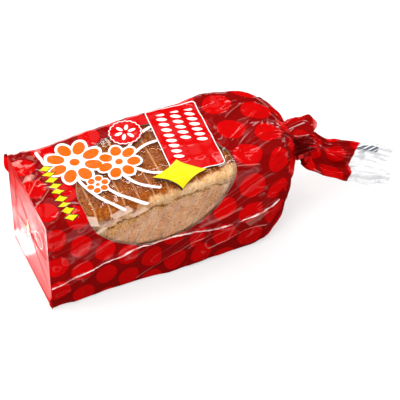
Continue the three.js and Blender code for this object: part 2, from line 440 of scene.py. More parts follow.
def arcLine(tree, uv, start, end, bulge, halfWidth):
    # A bowed line: in a frame along the chord, its height is a parabola of the distance from the middle
    middle = ((start[0] + end[0]) / 2, (start[1] + end[1]) / 2)
    chord = math.hypot(end[0] - start[0], end[1] - start[1])
    degrees = math.degrees(math.atan2(end[1] - start[1], end[0] - start[0]))
    x, y = parts(tree, millimetres(tree, uv, middle, degrees))
    bow = calc(tree, "MULTIPLY_ADD", times(tree, x, x), -4 * bulge / chord**2, bulge)
    beyond = larger(tree, minus(tree, sizeOf(tree, x), chord / 2), 0.0)
    return inside(tree, distanceOf(tree, minus(tree, y, bow), beyond), halfWidth, 0.2)


def daisy(tree, uv, centre, radius, petals, degrees):
    # White petals and a white disc, with smaller orange petals and an orange eye on top of them
    x, y = parts(tree, localPoint(tree, uv, centre, (radius, radius), degrees))
    distance = distanceOf(tree, x, y)
    out, aside = onPetal(tree, x, y, petals)
    room = math.tan(math.pi / petals) * 0.62  # half the width of a petal that fills its share of the circle

    def petal(middle, halfLength, halfWidth):
        a = divided(tree, minus(tree, out, middle), halfLength)
        b = divided(tree, aside, halfWidth)
        return inside(tree, distanceOf(tree, a, b), 1.0, 0.03)

    white = larger(tree, petal(0.62, 0.40, room * 1.12), inside(tree, distance, 0.72, 0.01))
    orange = larger(tree, petal(0.63, 0.29, room * 0.80), inside(tree, distance, 0.17, 0.012))
    return white, orange


# The printed film
filmPrint = {
    "ground": (0.20, 0.0012, 0.0012, 1),
    "dot": (0.47, 0.0003, 0.0006, 1),
    "white": (0.86, 0.84, 0.82, 1),
    "orange": (0.62, 0.10, 0.002, 1),
    "yellow": (0.68, 0.56, 0.008, 1),
    "dark": (0.03, 0.018, 0.012, 1),
    "labelRed": (0.48, 0.0012, 0.0015, 1),
    "dotRadius": 12.6,
    "dotColumns": 28.0,
    "dotPitch": 34.2,
    "dotStart": (198.0, 15.0),
    "daisies": [  # centre, radius, petals, degrees
        ((52, 172), 27.5, 8, 12),
        ((88, 155), 21.0, 7, 30),
        ((61, 138), 11.0, 6, 5),
    ],
    "stalks": [  # start, end, bulge
        ((38, 160), (24, 196), 3.0),
        ((47, 152), (73, 103), -5.0),
        ((66, 134), (94, 101), -4.0),
        ((86, 138), (109, 111), -3.5),
        ((98, 142), (126, 124), -3.0),
        ((101, 166), (129, 183), 2.5),
        ((104, 158), (128, 165), 2.0),
    ],
    "stalkHalfWidth": 1.5,
    "windowCentre": (110.0, 118.0),
    "windowRadius": 72.5,
    # painted glare on the window's clear film: centre, half length and half width, degrees, strength
    "paintedGlareFacets": [
        ((43.4, 100.0), (4.2, 5.2), -15, 0.5),
        ((49.0, 86.0), (5.5, 2.8), 30, 0.45),
        ((59.0, 93.0), (8.5, 3.2), 18, 0.25),
        ((70.0, 101.0), (9.0, 3.4), 10, 0.4),
        ((86.0, 94.0), (8.0, 3.4), 14, 0.3),
    ],
    # the colour of the painted highlights on creases
    "glint": (0.80, 0.36, 0.30, 1),
    # painted shade below the near weld: its colour, strength and edge
    "shade": (0.06, 0.001, 0.001, 1),
    "shadeAmount": 0.3,
    "shadeFrom": ((0.0, 0.27), (0.8, 0.44)),  # two points of the line under which the film gets painted shade
    # the colour of the painted glare on the window, and how strongly it paints the thin ring at the window's
    # edge
    "paintedGlareColour": (0.95, 0.72, 0.58, 1),
    "paintedGlareRing": 0.12,
    # painted highlights on single creases of the printed film: centre, half length and half width, degrees,
    # strength
    "glintFacets": [
        ((3.5, 189.0), (3.0, 5.0), 0, 0.4),
        ((7.0, 168.0), (5.0, 3.6), 50, 0.45),
        ((15.0, 154.5), (4.5, 0.5), 10, 0.75),
        ((8.0, 156.5), (13.0, 0.3), 43, 0.4),
        ((8.0, 138.0), (13.0, 0.3), 37, 0.38),
        ((22.0, 203.5), (17.0, 0.8), 0, 0.6),
        ((62.0, 204.0), (20.0, 1.1), 0, 0.7),
        ((208.0, 174.0), (11.5, 0.25), 30, 0.3),
        ((192.0, 106.0), (12.0, 0.3), -9.5, 0.4),
        ((231.0, 185.5), (10.5, 0.35), -19, 0.45),
        ((92.0, 12.5), (12.0, 0.5), 33, 0.3),
        ((118.5, 25.0), (17.5, 0.5), 20, 0.35),
        ((146.0, 33.0), (11.0, 0.5), 10, 0.3),
        ((168.0, 23.0), (16.5, 0.6), 14, 0.35),
        ((202.5, 24.5), (18.6, 0.6), -8, 0.35),
        ((166.0, 52.5), (21.5, 2.2), 12, 0.16),
        ((205.0, 34.0), (12.0, 4.5), 8, 0.14),
    ],
    "labelCentre": (153.4, 159.0),
    "labelHalf": (24.6, 42.8),
    "labelTurn": -4.0,
    "labelCorner": 3.6,
    "labelRim": 0.85,
    "leafRows": [  # place across the label, low end, high end
        (14.8, -10.5, 35.0),
        (1.2, -3.5, 35.0),
        (-12.4, -24.5, 35.0),
    ],
    "leafHalfStep": 3.5,
    "leafHalf": (2.15, 4.5),
    "leafSlant": 0.35,
    "sealCentre": (106.5, 186.5),
    "sealRadius": 16.2,
    "sealScallops": 9.0,
    "sealPetals": 6,
    "lozengeCentre": (132.0, 119.5),
    "lozengeHalf": (25.0, 17.0),
    "lozengeTurn": -12,
    "lozengeShadow": (-1.3, -1.5),
    "rowCentre": (25.4, 142.5),
    "rowHalf": 36.8,
    "rowHalfStep": 4.1,
    "rowLozenge": (6.2, 3.7),
    "roughness": 0.4,
    "specular": 0.0,
    "coat": 0.55,
    "coatRoughness": 0.09,
    "crinkleScale": 9.0,
    "crinkle": 0.05,
    "windowCrinkle": 0.015,
    "windowGloss": 0.01,
    "tailGloss": 0.10,
}


def dotField(tree, uv):
    # Two square lattices of circles, one shifted by half a step both ways
    f = filmPrint
    u, v = parts(tree, uv)
    halfU, halfV = f["dotColumns"] / 100, f["dotPitch"] / 200
    distances = []
    for stepU, stepV in ((0.0, 0.0), (f["dotColumns"], f["dotPitch"] / 2)):
        startU, startV = (f["dotStart"][0] + stepU) / 100, (f["dotStart"][1] + stepV) / 100
        a = calc(tree, "WRAP", minus(tree, u, startU), halfU, -halfU)
        b = calc(tree, "WRAP", minus(tree, v, startV), halfV, -halfV)
        distances.append(distanceOf(tree, a, b))
    return inside(tree, calc(tree, "MINIMUM", *distances), f["dotRadius"] / 100, 0.002)


def plainPrint(tree, uv):
    return mixColour(tree, dotField(tree, uv), filmPrint["ground"], filmPrint["dot"])


def windowPrint(tree, uv):
    # Each printed shape covers what is under it, and covers the clear film of the window too
    f = filmPrint
    colour = plainPrint(tree, addNode(tree, "ShaderNodeUVMap", uv_map="dots").outputs[0])
    clear = ellipse(tree, uv, f["windowCentre"], (f["windowRadius"],) * 2, softness=0.004)
    daisies = [daisy(tree, uv, *shape) for shape in f["daisies"]]
    stalks = [arcLine(tree, uv, *shape, f["stalkHalfWidth"]) for shape in f["stalks"]]
    white = strongest(tree, [flower[0] for flower in daisies] + stalks)
    orange = strongest(tree, [flower[1] for flower in daisies])
    layers = [(white, f["white"]), (orange, f["orange"])]
    for mask, paint in layers + labelLayers(tree, uv) + sealLayers(tree, uv) + yellowLayers(tree, uv):
        colour = mixColour(tree, mask, colour, paint)
        clear = times(tree, clear, minus(tree, 1.0, mask))
    return colour, clear


def labelLayers(tree, uv):
    # A red label with a white rim and three rows of slanted white leaves
    f = filmPrint
    x, y = parts(tree, millimetres(tree, uv, f["labelCentre"], f["labelTurn"]))
    rim = boxDistance(tree, x, y, *f["labelHalf"], f["labelCorner"])
    rows = []
    for middle, low, high in f["leafRows"]:
        across = minus(tree, x, middle)
        slanted = plus(tree, y, times(tree, across, f["leafSlant"]))
        step = calc(tree, "WRAP", slanted, f["leafHalfStep"], -f["leafHalfStep"])
        a = divided(tree, step, f["leafHalf"][0])
        b = divided(tree, across, f["leafHalf"][1])
        leaf = plus(tree, times(tree, a, a), calc(tree, "POWER", sizeOf(tree, b), 1.6))
        beyond = minus(tree, sizeOf(tree, minus(tree, y, (low + high) / 2)), (high - low) / 2)
        rows.append(times(tree, inside(tree, leaf, 1.0, 0.12), inside(tree, beyond, 0.0, 0.2)))
    return [
        (inside(tree, rim, 0.0, 0.15), f["white"]),
        (inside(tree, rim, -f["labelRim"], 0.15), f["labelRed"]),
        (strongest(tree, rows), f["white"]),
    ]


def sealLayers(tree, uv):
    # A red disc with a scalloped rim, a thin white line inside it and a small white flower in the middle
    f = filmPrint
    x, y = parts(tree, localPoint(tree, uv, f["sealCentre"], (f["sealRadius"],) * 2))
    edge = scalloped(tree, x, y, f["sealScallops"], 0.06)
    line = sizeOf(tree, minus(tree, edge, 0.86))
    out, aside = onPetal(tree, x, y, f["sealPetals"])
    a = divided(tree, minus(tree, out, 0.4), 0.22)
    b = divided(tree, aside, 0.105)
    petal = plus(tree, times(tree, a, a), times(tree, b, b))
    return [
        (inside(tree, edge, 0.94, 0.012), f["labelRed"]),
        (inside(tree, line, 0.026, 0.01), f["white"]),
        (inside(tree, petal, 1.0, 0.1), f["white"]),
    ]


def lozenge(tree, x, y, halfX, halfY, power=1.0):  # 1 at the edge; a power under 1 hollows the sides
    a = calc(tree, "POWER", divided(tree, sizeOf(tree, x), halfX), power)
    b = calc(tree, "POWER", divided(tree, sizeOf(tree, y), halfY), power)
    return plus(tree, a, b)


def yellowLayers(tree, uv):
    # One large yellow lozenge with a dark shadow, and a row of small ones across the left of the top
    f = filmPrint
    layers = []
    for (dx, dy), paint in ((f["lozengeShadow"], f["dark"]), ((0, 0), f["yellow"])):
        place = (f["lozengeCentre"][0] + dx, f["lozengeCentre"][1] + dy)
        x, y = parts(tree, millimetres(tree, uv, place, f["lozengeTurn"]))
        layers.append((inside(tree, lozenge(tree, x, y, *f["lozengeHalf"], 0.82), 1.0, 0.012), paint))
    x, y = parts(tree, millimetres(tree, uv, f["rowCentre"]))
    step = calc(tree, "WRAP", y, f["rowHalfStep"], -f["rowHalfStep"])
    extent = inside(tree, sizeOf(tree, y), f["rowHalf"], 0.1)
    for limit, paint in ((1.25, f["dark"]), (1.0, f["yellow"])):
        mask = inside(tree, lozenge(tree, x, step, *f["rowLozenge"], 0.9), limit, 0.04)
        layers.append((times(tree, mask, extent), paint))
    return layers


def facets(tree, uv, shapes, amount=0.0):  # the strongest of the slanted rectangles at each point
    for centre, half, degrees, strength in shapes:
        x, y = parts(tree, millimetres(tree, uv, centre, degrees))
        slanted = plus(tree, x, times(tree, y, 0.5))
        facet = inside(tree, boxDistance(tree, slanted, y, *half, min(0.6, half[1])), 0.0, 0.35)
        amount = larger(tree, amount, times(tree, facet, strength))
    return amount


def underWeld(tree, uv):
    # Painted shade: the film hangs free below the near weld, with no bread close behind it, and its print is
    # darkened there
    u, v = parts(tree, uv)
    (startU, startV), (endU, endV) = filmPrint["shadeFrom"]
    over = minus(tree, v, ranged(tree, u, startU, endU, startV, endV))
    return times(tree, ranged(tree, over, -0.04, 0.02, 1.0, 0.0), filmPrint["shadeAmount"])


def paintedWindowGlare(tree, uv):
    # Painted glare: pale facets low on the left of the window, where the clear film catches the light, and a
    # thin pale ring at the window's edge as a painted highlight
    f = filmPrint
    out = lengthOf(tree, localPoint(tree, uv, f["windowCentre"], (f["windowRadius"],) * 2))
    ring = inside(tree, sizeOf(tree, minus(tree, out, 0.99)), 0.007, 0.004)
    return facets(tree, uv, f["paintedGlareFacets"], times(tree, ring, f["paintedGlareRing"]))


def tailMarks(tree, uv):
    # Four short slanted dark bars near the edge of the clear mouth
    t = tailFilm
    x, y = parts(tree, millimetres(tree, uv, t["marksAt"]))
    step = calc(tree, "WRAP", plus(tree, x, times(tree, y, 0.5)), t["markHalfStep"], -t["markHalfStep"])
    bar = boxDistance(tree, step, y, *t["markHalf"], 0.4)
    extent = inside(tree, sizeOf(tree, x), t["marksHalf"], 0.1)
    return times(tree, inside(tree, bar, 0.0, 0.15), extent)


def glare(tree, normal, base):  # how much of clear film is gloss: more where it is seen edge on
    sheen = addNode(tree, "ShaderNodeFresnel", {"IOR": 1.45, "Normal": normal}).outputs[0]
    return calc(tree, "ADD", sheen, base, clamp=True)


def clearWindow(tree, uv, crinkle, normal):  # calm clear film with painted pale glare facets
    f = filmPrint
    calm = bumped(tree, crinkle, f["windowCrinkle"])
    gloss = addNode(tree, "ShaderNodeBsdfAnisotropic", {"Normal": calm, "Roughness": 0.05}).outputs[0]
    through = addNode(tree, "ShaderNodeBsdfTransparent").outputs[0]
    clear = mixShader(tree, glare(tree, normal, f["windowGloss"]), through, gloss)
    # a pale diffuse film for the painted glare
    pale = addNode(tree, "ShaderNodeBsdfDiffuse", {"Color": f["paintedGlareColour"]}).outputs[0]
    return mixShader(tree, paintedWindowGlare(tree, uv), clear, pale)


def clearMouth(tree, uv, normal):  # clear film with dark marks
    t = tailFilm
    marks = tailMarks(tree, uv)
    gloss = surface(tree, mixColour(tree, marks, t["mouth"], t["mark"]), 0.15, coat=1.0, normal=normal)
    through = addNode(tree, "ShaderNodeBsdfTransparent", {"Color": t["tint"]}).outputs[0]
    amount = glare(tree, normal, filmPrint["tailGloss"])
    amount = calc(tree, "ADD", amount, times(tree, marks, 0.7), clamp=True)
    return mixShader(tree, amount, through, gloss.outputs[0])


def filmMaterial(name, withWindow=False, clearTail=False):
    f = filmPrint
    material, tree = newTree(name)
    uv = filmUv(tree)
    if withWindow:
        colour, clear = windowPrint(tree, uv)
        # painted shade on the film below the near weld
        colour = mixColour(tree, underWeld(tree, uv), colour, f["shade"])
        # painted highlights on single creases of the film
        colour = mixColour(tree, facets(tree, uv, f["glintFacets"]), colour, f["glint"])
    else:
        colour = plainPrint(tree, uv)
    crinkle = noise(tree, uv, f["crinkleScale"], 4.0, noise_type="RIDGED_MULTIFRACTAL")
    normal = bumped(tree, crinkle, f["crinkle"])
    printed = surface(tree, colour, f["roughness"], f["specular"], f["coat"], f["coatRoughness"], normal)
    shader = printed.outputs[0]
    if withWindow:
        shader = mixShader(tree, clear, shader, clearWindow(tree, uv, crinkle, normal))
    if clearTail:
        clear = minus(tree, 1.0, inside(tree, parts(tree, uv)[0], tailFilm["clearFrom"] / 100, 0.003))
        shader = mixShader(tree, clear, shader, clearMouth(tree, uv, normal))
    finishTree(tree, shader)
    return material


# Body film
dotStretch = {  # places on the film, and where each lies in the even pattern of the dots
    "columnX": [-20, 8, 30, 54, 74, 97, 120, 146, 168, 197, 226, 350],
    "column": [-54, -26, 2, 30, 58, 86, 114, 142, 170, 198, 226, 350],
    "rowV": [-61, -31, 15, 45.6, 81, 117.5, 153.7, 186.4, 362],
    "row": [-70, -36.3, 15, 49.2, 83.4, 117.6, 151.8, 186, 362],
    "slideX": [8, 33, 54, 74, 97, 120, 146],
    "slide": [7, 10, 9.5, 12, 15, 16, 20],
    "fadeV": [110, 190],
    "fade": [1, -0.6],
    "foldHeight": [0, 50],
    "foldX": [128, 158],
}
bodyFilm = {
    "rowsBox": 158,
    "rowsDome": 76,
    "columns": 420,
    # from where to where each long edge lies, measured round the bag from the near bottom edge
    "edges": {"nearLow": (-6, 4), "nearHigh": (98, 108), "farHigh": (203, 213), "farLow": (307, 317)},
    # single folds on the flat film: start, end, height, and how far its slopes reach to the left and right
    "standingFolds": [
        ((5, 160), (14, 175), 2.5, 8, 1.6),
        ((0, 182), (8, 190), 2.5, 8, 1.6),
        ((11, 154), (19, 155), 1.0, 1.6, 1.6),
        ((1, 147), (18, 166), 1.3, 4, 1.6),
        ((1, 131), (18, 146), 1.1, 4, 1.6),
        ((198, 168), (219, 180), 1.5, 6, 2),
        ((180, 108), (204, 104), 1.3, 5, 2),
        ((82, 6), (102, 19), 1.5, 8, 2),
        ((102, 19), (135, 31), 1.7, 8, 2),
        ((135, 31), (157, 35), 1.5, 7, 2),
        ((152, 19), (184, 27), 2.0, 9, 2),
        ((184, 27), (221, 22), 2.0, 9, 2),
        ((145, 48), (187, 57), 1.6, 9, 3),
        ((1, 13.5), (20, 20.5), 1.2, 1.2, 1.2),
        ((2, 71), (25, 77), 1.5, 4, 2),
        ((4, 82), (10, 59), 1.5, 2, 4),
    ],
}


def standingFold(x, v, start, end, height, left, right):
    # A pleat along a short line: it falls away evenly to both sides, over a different width on each
    wayX, wayV = end[0] - start[0], end[1] - start[1]
    length = math.hypot(wayX, wayV)
    wayX, wayV = wayX / length, wayV / length
    along = (x - start[0]) * wayX + (v - start[1]) * wayV
    across = (v - start[1]) * wayX - (x - start[0]) * wayV
    reach = np.where(across > 0, left, right)
    ends = smooth(-5, 3, along) * (1 - smooth(length - 3, length + 5, along))
    return height * np.clip(1 - np.abs(across) / reach, 0, 1) * ends


def filmRelief(x, v, top, side, height):
    # How far the film stands out from the smooth bag, in millimetres: facets and standing folds by region
    overWeld = height - weldHeight(x)
    below = side * (1 - smooth(-5, 3, overWeld))
    above = side * smooth(-1, 7, overWeld)
    fromCentre = np.hypot(x - filmPrint["windowCentre"][0], v - filmPrint["windowCentre"][1])
    inWindow = 1 - smooth(62, 82, fromCentre)
    ends = smooth(1, 9, x)
    loose = smooth(176, 205, x)
    quiet = top * (1 - smooth(150, 178, x)) * smooth(38, 58, x)
    left = top * (1 - smooth(24, 44, x)) * ends
    right = top * smooth(164, 190, x)
    corner = smooth(0.5, 4, x) * (1 - smooth(12, 24, x)) * (top + above)
    dome = smooth(196, 216, x)

    # all over: large facets, calmer on the top and in the window
    flat = 1.5 * creases(x, v, 28, 23, 11, 0.6) + creases(x, v, -36, 17, 13) + 0.6 * creases(x, v, 70, 11, 15)
    relief = ends * flat * (1.0 + 0.45 * loose - 0.7 * quiet - 0.85 * inWindow * above)
    relief = relief + 0.3 * layeredNoise(x / 34, v / 22, 3) * ends

    # the sides below and above the weld
    hanging = 3.0 * folds(x, v, 33, 62, 15, 17, 1.5) + 0.5 * folds(x, v, 15, 60, 14, 19, 1.4) - 1.1
    relief = relief + below * ends * hanging
    relief = relief + above * ends * (1 - 0.8 * inWindow) * (2.2 * folds(x, v, 26, 66, 16, 21, 1.6) - 0.5)

    # the top: left end, right end and middle
    relief = relief + left * (2.4 * folds(x, v, 30, 36, 12, 23, 1.6) + 1.5 * creases(x, v, -52, 10, 25) - 0.6)
    slack = 2.2 * folds(x, v, -28, 60, 17, 27, 1.5) + 1.4 * folds(x, v, 38, 34, 12, 29, 1.8) - 0.6
    relief = relief + right * slack
    relief = relief + quiet * 0.5 * folds(x, v, -8, 80, 18, 31, 2.4)

    # the slices show through as a faint wave
    slices = np.cos((x - loaf["first"]) * 2 * math.pi / loaf["pitch"])
    relief = relief + 0.2 * slices * smooth(14, 30, x) * (1 - smooth(192, 206, x)) * (top + above)

    # single folds, then the small creases at the folded end and on the dome
    for fold in bodyFilm["standingFolds"]:
        relief = relief + standingFold(x, v, *fold) * smooth(0, 3, x)
    relief = relief + corner * (1.4 * creases(x, v, 48, 7, 37, 0.7) + 0.9 * creases(x, v, -40, 9, 39, 0.7))
    return relief + dome * (1.7 * creases(x, v, 6, 9, 33, 0.6) + 1.8 * folds(x, v, 0, 38, 9, 35, 1.6) - 1.1)


def dotMap(uv):
    # Where each point lies in the dots' even pattern. The film is drawn together to the left and low on the
    # side, and slides over itself at a fold that runs up the near side.
    s = dotStretch
    u, v = uv[..., 0], uv[..., 1]
    foldAt = np.interp(v, s["foldHeight"], s["foldX"])
    slid = np.interp(u, s["slideX"], s["slide"]) * np.interp(v, s["fadeV"], s["fade"])
    slid = slid * (1 - smooth(-1.5, 1.5, u - foldAt))
    return np.stack([np.interp(u, s["columnX"], s["column"]), np.interp(v - slid, s["rowV"], s["row"])], -1)


def makeBodyFilm(material):
    s, f, edges = bagShape, bodyFilm, bodyFilm["edges"]
    xBox = np.linspace(0, 196, f["rowsBox"])
    xDome = np.linspace(197, s["neckStart"] + 5, f["rowsDome"])
    x = np.concatenate([xBox, xDome])[:, None]
    share = ringShares(f["columns"])
    points = bodyPoints(x, share)
    xGrid = np.broadcast_to(x, points.shape[:2])
    vGrid = np.broadcast_to(share * bagOutline - s["width"] / 2, points.shape[:2])
    sideNear = smooth(*edges["nearLow"], vGrid) * (1 - smooth(*edges["nearHigh"], vGrid))
    sideFar = smooth(*edges["farHigh"], vGrid) * (1 - smooth(*edges["farLow"], vGrid))
    side = sideNear + sideFar
    top = smooth(*edges["nearHigh"], vGrid) * (1 - smooth(*edges["farHigh"], vGrid))
    farFoot = 2 * s["height"] + s["width"]
    height = np.where(vGrid < farFoot / 2, vGrid, farFoot - vGrid)  # above the table, on either side
    neckFade = 1 - smooth(s["boxLength"] + 30, s["neckStart"] - 2, xGrid)
    relief = filmRelief(xGrid, vGrid, top, side, height) * (side + top) * neckFade
    relief = np.maximum(relief, mix(-0.9, -3.0, smooth(195, 225, xGrid)))  # the slices hold the film out
    points = points + gridNormals(points, True) * relief[..., None]
    points[..., 2] = np.maximum(points[..., 2], 0.05)

    # the flat film's u is the way along the dome's slope, so that the print isn't stretched there
    profile = np.maximum(domeScale(x[:, 0])[1], 0.16) * 45
    u = np.concatenate([[0], np.cumsum(np.hypot(np.diff(x[:, 0]), np.diff(profile)))])
    v = ringShares(f["columns"], 1) * bagOutline - s["width"] / 2
    uv = stacked(u[:, None], v) / 100
    return addGrid("bag_film", points, uv, material, wrap=True, flip=True, dots=dotMap(uv * 100) / 100)


# The folded end
endPanel = {
    "rings": 40,
    "columns": 256,
    "sink": 2.5,
    "foldAt": 29.0,
    "foldProud": 2.4,
    "sealAt": (-81.0, 62.0),
    "sealRadius": 8.0,
    "lozengeAt": (-53.0, 51.0),
    "lozengeHalf": (3.2, 11.0),
    "sealScallops": 7.0,
    "faintWhite": (0.90, 0.62, 0.60, 1),
    "faintYellow": (0.92, 0.80, 0.30, 1),
    # a bright red, mixed into the panel's print as painted light
    "tint": (0.62, 0.004, 0.004, 1),
    "paintedLightShare": 0.55,
}


def makeEndPanel(material):
    # The end's outline drawn in towards the middle, with folds where the gussets were turned in
    s, e = bagShape, endPanel
    share = ringShares(e["columns"])
    rim = bodyPoints(np.array([[0.0]]), share)[0]
    inward = np.linspace(0, 1, e["rings"])[:, None]
    middle = np.array([0.0, 0.0, s["height"] / 2])
    points = mix(rim[None, :, :], middle[None, None, :], inward[..., None])
    y, z = points[..., 1], points[..., 2] - s["height"] / 2
    diagonal = np.abs(np.abs(y) * 1.04 - np.abs(z))
    sink = e["sink"] * smooth(0, 0.25, inward)
    ridge = 0.7 * np.exp(-diagonal / 2.2) * smooth(0.02, 0.2, inward)
    seam = 0.6 * np.exp(-np.abs(z + 3) / 1.2) * smooth(0.1, 0.4, inward)
    farOfFold = (s["width"] / 2 - y) / (s["width"] / 2 - e["foldAt"])
    nearOfFold = np.clip(1 - (e["foldAt"] - y) / 75, 0, 1)
    leaf = np.where(y > e["foldAt"], farOfFold, nearOfFold)
    seam = seam + e["foldProud"] * leaf * smooth(0, 0.15, inward) * (1 - 0.5 * smooth(0.6, 1, inward))
    crumple = 0.8 * creases(y, z, 8, 27, 41) + 0.45 * creases(y, z, 20, 11, 43)
    crumple = crumple + 0.5 * layeredNoise(y / 18, z / 40, 45)
    points[..., 0] = sink - ridge - seam - crumple * smooth(0, 0.12, inward) * 0.8
    yUv = np.concatenate([y, y[:, :1]], axis=1)
    zUv = np.concatenate([z, z[:, :1]], axis=1)
    uv = np.stack([yUv - 60, zUv + s["height"] / 2], -1) / 100  # to the left of the body's print
    return addGrid("end_panel", points, uv, material, wrap=True)


def panelMaterial():
    # Painted light: the print mixed halfway to a bright red, a lit copy of the film, under a soft gloss; the
    # end catches the light of the table
    e = endPanel
    material, tree = newTree("printedFilmPanelPaintedLight")
    uv = filmUv(tree)
    # painted light: the print brightened towards a lit red
    colour = mixColour(tree, e["paintedLightShare"], plainPrint(tree, uv), e["tint"])
    x, y = parts(tree, millimetres(tree, uv, e["sealAt"]))
    ring = sizeOf(tree, minus(tree, scalloped(tree, x, y, e["sealScallops"], 0.8), e["sealRadius"]))
    colour = mixColour(tree, inside(tree, ring, 0.45, 0.2), colour, e["faintWhite"])
    x, y = parts(tree, millimetres(tree, uv, e["lozengeAt"]))
    diamond = lozenge(tree, x, y, *e["lozengeHalf"])
    colour = mixColour(tree, inside(tree, diamond, 1.0, 0.1), colour, e["faintYellow"])
    finishTree(tree, surface(tree, colour, 0.4, 0.0, 1.0, 0.38).outputs[0])
    return material


# The small flaps at two corners of the folded end
cornerFlap = {  # lowest and highest point of the edge, the way out from it, and how far the flap stands out
    "far": ((0.0, 50.3, 84.0), (0.0, 50.3, 106.0), (-0.62, 0.78), 4.6),
    "near": ((0.0, -50.3, 1.2), (0.0, -50.3, 15.0), (-0.75, -0.66), 3.2),
}


def makeFlap(name, side, material):
    # A thin fin on a short edge: its reach swells and fades along the edge, and its section is a flat loop
    low, high, outward, reach = cornerFlap[side]
    along = np.linspace(0, 1, 60)[:, None]
    angle = np.linspace(0, 2 * math.pi, 25)[None, :-1]
    swell = np.sqrt(np.clip(np.sin(math.pi * np.clip(along, 0.001, 0.999)), 0, 1)) * (0.75 + 0.4 * along)
    outwards = 0.5 - 0.5 * np.cos(angle)  # 0 on the edge of the bag, 1 at the fin's rim
    out = -0.6 + (reach * swell + 0.6) * outwards
    bend = 0.9 * np.sin(along * 7.0) * outwards + 0.35 * np.sin(angle)
    x = low[0] + outward[0] * out - outward[1] * bend
    y = low[1] + outward[1] * out + outward[0] * bend
    z = mix(low[2], high[2], along) - 0.8 * outwards * (1 - along)
    points = stacked(x, y, z)
    uvAngle = np.linspace(0, 1, 25)[None, :]
    uv = stacked(3 + 5 * uvAngle, 206 - 20 * along) / 100
    return addGrid(name, points, uv, material, wrap=True, flip=True)


# Side welds
weldLine = {
    # places along the side and heights there
    "heights": [
        (0, 26.5),
        (1.7, 27.2),
        (11.7, 29.9),
        (24.2, 33.5),
        (39.6, 35.4),
        (50.9, 42.0),
        (64.1, 41.6),
        (78.2, 45.4),
        (89.5, 47.2),
        (105.8, 46.7),
        (122.3, 46.1),
        (143.5, 42.5),
        (161.4, 38.5),
        (185.7, 39.4),
        (205.3, 40.5),
        (218.9, 41.9),
        (229, 43),
    ],
    "from": 0.8,
    "to": 231,
    "steps": 300,
    "proud": 1.65,
    "halfThickness": 0.32,
    # pinkish to near white by noise: partly the pale clear film of the weld, partly painted glints
    "tones": ((0.35, (0.62, 0.16, 0.14, 1)), (0.62, (0.93, 0.80, 0.78, 1))),
}


def weldHeight(x):
    return np.interp(x, *zip(*weldLine["heights"]))


def makeWeld(name, side, material):
    # A thin fin along the side: a narrow lens section carried along the weld's height
    w = weldLine
    x = np.linspace(w["from"], w["to"], w["steps"])[:, None]
    z = weldHeight(x) + 0.35 * softNoise(x / 5, x * 0, 61) + 0.2 * softNoise(x / 1.7, x * 0, 62)
    share = (z + bagShape["width"] / 2) / bagOutline
    base = bodyPoints(x, share if side < 0 else 1 - share)
    angle = np.linspace(0, 2 * math.pi, 11)[None, :-1]
    outwards = 0.5 - 0.5 * np.cos(angle)
    proud = w["proud"] * (0.75 + 0.35 * softNoise(x / 9, x * 0, 63))
    sag = 0.5 * softNoise(x / 12, x * 0, 64) - 0.3
    out = -0.9 + (proud + 0.9) * outwards
    up = w["halfThickness"] * np.sin(angle) + sag * outwards
    points = stacked(base[..., 0], base[..., 1] + side * out, base[..., 2] + up)
    uv = stacked(x, np.linspace(0, 1, 11)[None, :]) / 100
    return addGrid(name, points, uv, material, wrap=True, flip=side > 0)


def weldMaterial():
    material, tree = newTree("weldedFilmEdge")
    place = addNode(tree, "ShaderNodeTexCoord").outputs["Object"]
    # partly the weld's pale film, partly painted glints
    colour = coloured(tree, noise(tree, place, 160.0, 2.0), weldLine["tones"])
    finishTree(tree, surface(tree, colour, 0.2, coat=0.6).outputs[0])
    return material


# The slices
loaf = {
    "slices": 16,
    "first": 6.0,
    "pitch": 13.95,
    "gap": 0.25,
    "halfWidth": 48.0,
    "bottom": 1.6,
    "top": 102.0,
    "lean": 0.5,
    "leanFrom": 92.0,
    "around": 340,
    "across": 13,
    "faceInsets": (0.0, 0.55, 0.9),
    "squareness": 9.0,
    # lines along the loaf, each as places along it and values there
    "crack": ([0, 60, 95, 108, 121, 138, 151, 172, 230], [75, 79.5, 84.5, 86.5, 87.5, 89, 90, 91, 91.5]),
    "torn": ([44, 55, 64, 74, 86, 102, 130], [21, 19, 14, 11, 8, 4, 2]),
    "crustFloor": ([40, 90, 150, 200], [83, 88, 94, 96]),
    "brown": ([0, 63, 96, 125, 153, 170, 180, 230], [-50, -48.5, -46.0, -45.0, -43.5, -41.0, -38.5, -38.0]),
    # colours from dark grain to light grain
    "sideTones": (
        (0.38, (0.56, 0.24, 0.10, 1)),
        (0.50, (0.88, 0.48, 0.26, 1)),
        (0.62, (0.99, 0.70, 0.45, 1)),
    ),
    "topTones": (
        (0.38, (0.18, 0.030, 0.003, 1)),
        (0.50, (0.39, 0.088, 0.008, 1)),
        (0.62, (0.66, 0.22, 0.035, 1)),
    ),
    "bandTones": (
        (0.38, (0.66, 0.30, 0.10, 1)),
        (0.50, (0.98, 0.62, 0.28, 1)),
        (0.62, (0.99, 0.80, 0.50, 1)),
    ),
    "goldTones": (
        (0.40, (0.48, 0.17, 0.025, 1)),
        (0.50, (0.92, 0.47, 0.11, 1)),
        (0.62, (0.99, 0.74, 0.36, 1)),
    ),
    "bran": (0.34, 0.13, 0.05, 1),
    "seed": (0.86, 0.50, 0.20, 1),
    "cutEdge": (0.98, 0.78, 0.60, 1),
    "crustEdge": (0.86, 0.50, 0.24, 1),
    # painted shade deep in the crack
    "crackPaintedShade": (0.17, 0.068, 0.02, 1),
}


def crackHeight(x):  # the ragged line where the crust lifted off the side, along the loaf
    return np.interp(x, *loaf["crack"])


def sliceFace(rim, x):  # rings that draw one cut face in towards its middle
    flatX = np.full_like(rim[..., :1], x)
    middle = np.array([0.0, 52.0])
    return [np.concatenate([flatX, mix(middle, rim[..., 1:], inset)], -1) for inset in loaf["faceInsets"]]


